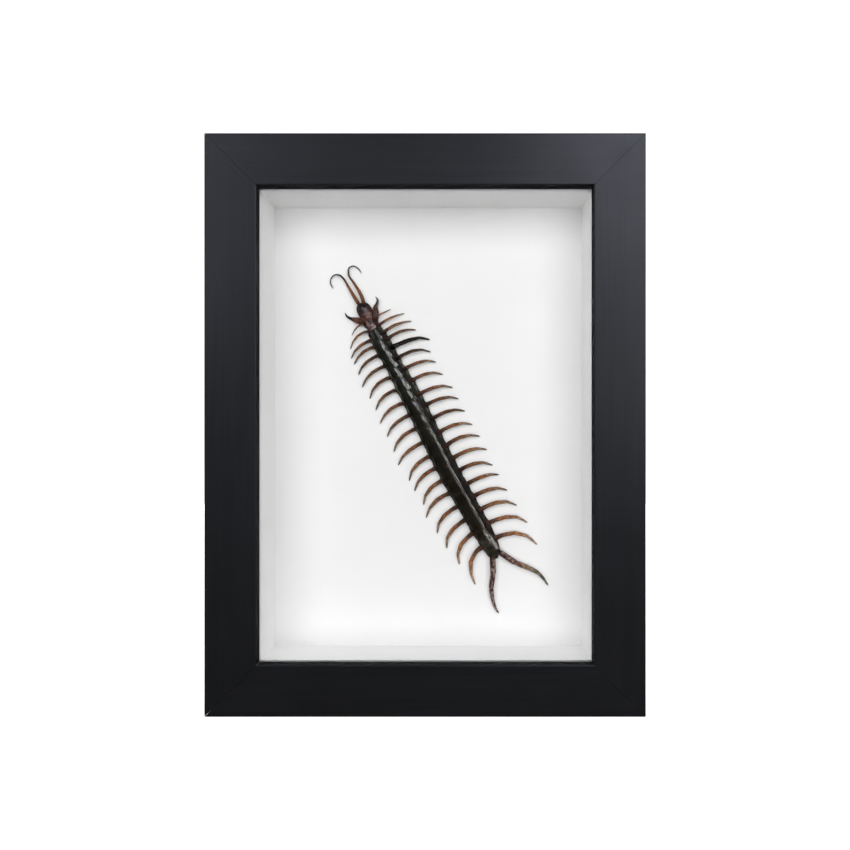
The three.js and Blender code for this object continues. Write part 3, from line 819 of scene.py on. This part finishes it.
def article_girth(shares, joints, waist, swell):
    """How a limb's thickness changes within its articles: a waist at each joint, a swelling before it."""
    joints = np.array(joints)
    i = np.clip(np.searchsorted(joints, shares, side="right") - 1, 0, len(joints) - 2)
    t = (shares - joints[i]) / (joints[i + 1] - joints[i])
    pinch = np.exp(-((t / 0.10) ** 2)) + np.exp(-(((1 - t) / 0.06) ** 2))
    return 1 - waist * pinch + swell * np.exp(-(((t - 0.86) / 0.12) ** 2))


def add_limb(skin, kind, line, joints, radii, sides=14, steps=9, waist=0.14, swell=0.06, bend=0.6,
             corners=None, stout=1.0, tone=0.5):
    """A jointed limb along a line, straighter than it between its corners by the share bend."""
    shares = article_shares(joints, steps)
    curved = at_shares(line, shares)
    corners = joints if corners is None else corners
    knees = at_shares(line, np.array(corners))
    straight = np.stack([np.interp(shares, corners, knees[:, k]) for k in range(3)], axis=1)
    middle = (1 - bend) * curved + bend * straight
    forward = np.gradient(middle, axis=0)
    forward /= np.linalg.norm(forward, axis=1, keepdims=True)
    side = np.cross(forward, [0, 0, 1])
    side /= np.linalg.norm(side, axis=1, keepdims=True)
    top = np.cross(side, forward)
    radius = stout * np.interp(shares, *np.array(radii).T) * article_girth(shares, joints, waist, swell)
    turn = full_turn(sides)[None, :, None]
    outwards = np.cos(turn) * side[:, None] + np.sin(turn) * top[:, None]
    rings = middle[:, None] + radius[:, None, None] * outwards
    rings[..., 2] = np.maximum(REST_GAP, rings[..., 2])
    near = np.abs(shares[:, None] - np.array(joints)[None, 1:]).min(axis=1)
    joint = np.exp(-((near / 0.02) ** 2))
    each = np.ones((1, sides))
    skin.tube(rings, kind, along=shares[:, None] * each, tone=tone, joint=joint[:, None] * each)


def leg_line(side, root, out, back, bow):
    """A walking leg leaves the trunk a little forwards, arches, and sweeps back to its claw."""
    start = root - LEG_STAGGER * side
    first = LEG_ROOT_SHARE * float(half_width(start))
    reach = out - first
    steep = max(0.0, back / reach - 0.4)
    places = [
        [first, start],
        [first + 0.42 * reach, start - bow],
        [first + (0.86 + 0.12 * steep) * reach, start + 0.18 * back],
        [out, root + back],
    ]
    corners = np.column_stack([places, LEG_HEIGHTS])
    t = np.linspace(0, 1, 200)[:, None]
    line = ((1 - t) ** 3 * corners[0] + 3 * t * (1 - t) ** 2 * corners[1]
            + 3 * t ** 2 * (1 - t) * corners[2] + t ** 3 * corners[3])
    line[:, 0] *= side
    return line


def add_legs():
    """The 20 pairs of walking legs and the last pair. Kinds: 0 leg, 1 last leg."""
    skin = Skin()
    for number, (root, right, left) in enumerate(LEGS):
        pair = number + 1
        for side, (out, back, bow, tone) in ((1, right), (-1, left)):
            stout = float(np.interp(pair, *np.array(LEG_STOUTNESS).T))
            if (pair, side) == THICK_LEG[:2]:
                stout *= THICK_LEG[2]
            line = leg_line(side, root, out, back, bow)
            add_limb(skin, 0, line, LEG_JOINTS, LEG_RADII, corners=LEG_CORNERS, bend=0.7, stout=stout,
                     tone=tone)
    for points, tone in ((LAST_LEG_RIGHT, 0.5), (LAST_LEG_LEFT, 0.35)):
        add_limb(skin, 1, smooth_line(points), LAST_LEG_JOINTS, LAST_LEG_RADII, sides=20, steps=14,
                 bend=0.4, tone=tone)
    skin.finish("centipede_legs", [leg_material(), last_leg_material()])


# Head

def add_head_plate(skin, kind):
    """The round head plate: a low dome, rimmed, with a faint furrow."""
    share = rounded_shares(0.06, 60)
    turn = full_turn(64)
    u = 2 * share - 1
    girth = np.sqrt(1 - np.abs(u) ** 3)[:, None]
    back = np.repeat((share * HEAD_LENGTH)[:, None], len(turn), axis=1)
    up = np.sin(turn)[None, :]
    out = HEAD_OFFSET + HEAD_HALF_WIDTH * girth * np.cos(turn)
    rise = np.where(up > 0, HEAD_RISE * np.abs(up) ** 0.85, -(HEAD_MIDDLE - REST_GAP) * np.abs(up) ** 0.6)
    roll = HEAD_ROLL * (1.3 - 0.6 * share[:, None]) * (out - HEAD_OFFSET)
    height = HEAD_MIDDLE + rise * girth ** 0.8 - roll
    furrow = np.exp(-(((out - HEAD_OFFSET) / 0.18) ** 2)) * np.clip(share[:, None] * 2 - 0.8, 0, 1)
    height = height - HEAD_FURROW * furrow * (up > 0)
    rings = np.stack([out, back, height], axis=-1)
    rings[..., 2] = np.maximum(REST_GAP, rings[..., 2] + wobble(rings, *HEAD_WAVES))
    skin.tube(rings, kind, along=np.repeat(share[:, None], len(turn), axis=1))


def add_jaw_base(skin, kind):
    """The broad plate under the head that the poison claws turn on."""
    share = rounded_shares(0.1, 30)
    turn = full_turn(48)
    girth = np.sqrt(1 - np.abs(2 * share - 1) ** 3)[:, None]
    front, length, right, wide, middle, high = JAW_BASE
    back = np.repeat((front + share * length)[:, None], len(turn), axis=1)
    out = right + wide * girth * np.cos(turn)
    height = middle + high * girth * np.sin(turn)
    rings = np.stack([out, back, height], axis=-1)
    rings[..., 2] = np.maximum(REST_GAP, rings[..., 2] + wobble(rings, *JAW_FOLDS))
    skin.tube(rings, kind, along=np.repeat(0.25 * share[:, None], len(turn), axis=1))


def add_eyes(skin, kind):
    """Four small domes on each side, behind the antennae."""
    turn = full_turn(12)
    polar = np.linspace(0.15, np.pi - 0.15, 8)
    ball = np.stack([np.outer(np.sin(polar), np.cos(turn)), np.outer(np.sin(polar), np.sin(turn)),
                     np.outer(np.cos(polar), np.ones_like(turn))], axis=-1)
    for side in (-1, 1):
        for out, back in EYES:
            centre = np.array([HEAD_OFFSET + side * out, back, HEAD_MIDDLE + EYE_RISE])
            skin.tube(centre + EYE_RADIUS * ball, kind)


def add_head():
    """The head, poison claws and antennae. Kinds: 0 head, 1 poison claw, 2 antenna, 3 eye."""
    skin = Skin()
    add_head_plate(skin, 0)
    add_jaw_base(skin, 1)
    add_eyes(skin, 3)
    for points in (FORCIPULE_RIGHT, FORCIPULE_LEFT):
        add_limb(skin, 1, smooth_line(points), FORCIPULE_JOINTS, FORCIPULE_RADII, sides=20, steps=14,
                 waist=0.1, swell=0.04, bend=0.1)
    joints = np.linspace(0, 1, ANTENNA_ARTICLES + 1).tolist()
    for points in (ANTENNA_RIGHT, ANTENNA_LEFT):
        add_limb(skin, 2, smooth_line(points), joints, ANTENNA_RADII, steps=6, waist=0.16, bend=0.1)
    finishes = [head_material(), forcipule_material(), antenna_material(), eye_material()]
    skin.finish("centipede_head", finishes)


# Materials of the animal

def leg_material():
    """Walking legs: dark at the root, flecked orange brown, grey at the claw, darker where tone is low."""
    made = cuticle("leg_cuticle", [[0.0, (0.012, 0.007, 0.005)], [0.18, (0.070, 0.038, 0.026)],
                                   [0.35, (0.165, 0.084, 0.050)], [0.50, (0.205, 0.102, 0.050)],
                                   [0.65, (0.208, 0.134, 0.084)], [0.80, (0.225, 0.168, 0.134)],
                                   [0.95, (0.225, 0.198, 0.178)]], gloss=0.5, shine=0.04, speck=0.45)
    pale = mapped_range(made, attribute(made, "tone"), 0, 1, 0, 1)
    shade = mixed(made, pale, (0.04, 0.038, 0.038), (1.45, 1.3, 1.15))
    toned = mixed(made, 1.0, base_colour(made), shade, "MULTIPLY")
    grain = noise_at(made, 1500, detail=2.0)
    fleck = ramp_of(made, grain, [[0.38, (0.5, 0.45, 0.42)], [0.58, (1.3, 1.25, 1.2)]])
    toned = mixed(made, 1.0, toned, fleck, "MULTIPLY")
    joint = math_of(made, "MULTIPLY", attribute(made, "joint"), 0.6)
    to_shader(made, "Base Color", mixed(made, joint, toned, (0.014, 0.009, 0.007)))
    return made


def last_leg_material():
    """Last legs: red brown with pale streaks, and the right one turns olive and then grey at its end."""
    made = cuticle("last_leg_cuticle", [[0.0, (0.022, 0.007, 0.005)], [0.35, (0.052, 0.015, 0.010)],
                                        [0.5, (0.090, 0.036, 0.014)], [0.62, (0.110, 0.085, 0.030)],
                                        [0.8, (0.070, 0.064, 0.050)], [1.0, (0.075, 0.068, 0.058)]],
                   gloss=0.34, shine=0.08, speck=0.5)
    left = mapped_range(made, attribute(made, "tone"), 1, 0, 0.35, 0.5)
    toned = mixed(made, left, base_colour(made), (0.040, 0.018, 0.014))
    flecks = mapped_range(made, noise_at(made, 1700, (0.6, 1, 0.35), 2.0), 0, 1, 0.53, 0.60)
    to_shader(made, "Base Color", mixed(made, flecks, toned, (0.25, 0.175, 0.155)))
    return made


def plate_material():
    """Back plates: dark olive in front, browner behind, pale rear edges, and the first one pinkish."""
    made = cuticle("plate_cuticle", [[0.08, (0.0040, 0.0050, 0.0032)], [0.35, (0.0044, 0.0044, 0.0026)],
                                     [0.75, (0.0074, 0.0052, 0.0032)], [0.91, (0.0092, 0.0060, 0.0038)],
                                     [0.94, (0.0240, 0.0220, 0.0140)], [1.0, (0.0180, 0.0170, 0.0110)]],
                   gloss=0.125, shine=0.45, speck=0.75, wrinkle=0.03)
    edge = math_of(made, "MULTIPLY", attribute(made, "joint"), 0.5)
    edged = mixed(made, edge, base_colour(made), (0.024, 0.019, 0.010))
    grain = noise_at(made, 900)
    pink = ramp_of(made, grain, [[0.42, (0.012, 0.006, 0.005)], [0.58, (0.13, 0.078, 0.070)]])
    to_shader(made, "Base Color", mixed(made, attribute(made, "tone"), edged, pink))
    return made


def flank_material():
    """Soft sides: black, with grey blotches on their outer parts, more of them in front; the grey is
    partly pale skin and partly painted sheen.
    """
    made = cuticle("flank_cuticle", [[0.07, (0.012, 0.006, 0.005)], [0.2, (0.0060, 0.0055, 0.0040)],
                                     [0.8, (0.0050, 0.0042, 0.0035)], [1.0, (0.010, 0.006, 0.004)]],
                   gloss=0.5, shine=0.12, speck=0.5, wrinkle=0.3)
    grey_sheen_patches = mapped_range(made, noise_at(made, 650, detail=2.0, rough=0.5), 0, 1, 0.46, 0.58)
    lower = mapped_range(made, attribute(made, "tone"), 0, 1, 0.64, 0.76)
    front = mapped_range(made, attribute(made, "along"), 1.0, 0.25, 0.35, 0.62)
    share = math_of(made, "MULTIPLY", math_of(made, "MULTIPLY", grey_sheen_patches, lower), front)
    # The grey mixed in here is partly the skin's own pale colour and partly a painted sheen where the
    # flanks catch the light.
    to_shader(made, "Base Color", mixed(made, share, base_colour(made), (0.075, 0.072, 0.055)))
    return made


def head_material():
    """Head plate: dark wine red in front, redder behind, where pale flecks show."""
    made = cuticle("head_cuticle", [[0.0, (0.010, 0.005, 0.007)], [0.45, (0.017, 0.007, 0.008)],
                                    [0.62, (0.034, 0.008, 0.006)], [1.0, (0.070, 0.022, 0.016)]],
                   gloss=0.26, shine=0.3, speck=0.8)
    spots = mapped_range(made, noise_at(made, 850, detail=2.0), 0, 1, 0.52, 0.58)
    rear = mapped_range(made, attribute(made, "along"), 0, 0.8, 0.45, 0.75)
    share = math_of(made, "MULTIPLY", spots, rear)
    to_shader(made, "Base Color", mixed(made, share, base_colour(made), (0.16, 0.085, 0.075)))
    return made


def antenna_material():
    """Antennae: orange brown with dark dots, turning to near black beyond the middle."""
    made = cuticle("antenna_cuticle", [[0.0, (0.060, 0.024, 0.009)], [0.25, (0.21, 0.075, 0.022)],
                                       [0.45, (0.13, 0.055, 0.024)], [0.6, (0.034, 0.026, 0.020)],
                                       [1.0, (0.020, 0.018, 0.018)]], gloss=0.42, shine=0.15)
    grain = noise_at(made, 1900, detail=2.0)
    dots = ramp_of(made, grain, [[0.40, (0.25, 0.25, 0.25)], [0.52, (1.2, 1.2, 1.2)]])
    to_shader(made, "Base Color", mixed(made, 1.0, base_colour(made), dots, "MULTIPLY"))
    return made


def forcipule_material():
    """Poison claws: red brown, with a black point."""
    return cuticle("forcipule_cuticle", [[0.0, (0.022, 0.007, 0.004)], [0.3, (0.040, 0.010, 0.005)],
                                         [0.5, (0.080, 0.018, 0.007)], [0.6, (0.03, 0.008, 0.005)],
                                         [0.66, (0.006, 0.004, 0.004)], [1.0, (0.004, 0.0035, 0.004)]],
                   gloss=0.28, shine=0.35, speck=0.8)


def eye_material():
    """Eyes: smooth and black."""
    black = (0.004, 0.0035, 0.004)
    return cuticle("eye_cuticle", [[0.0, black], [1.0, black]], gloss=0.18)


add_camera()
add_world()
add_stage()
add_lights()
dress_frame()
add_trunk()
add_legs()
add_head()
bpy.context.scene.view_settings.view_transform = "Standard"
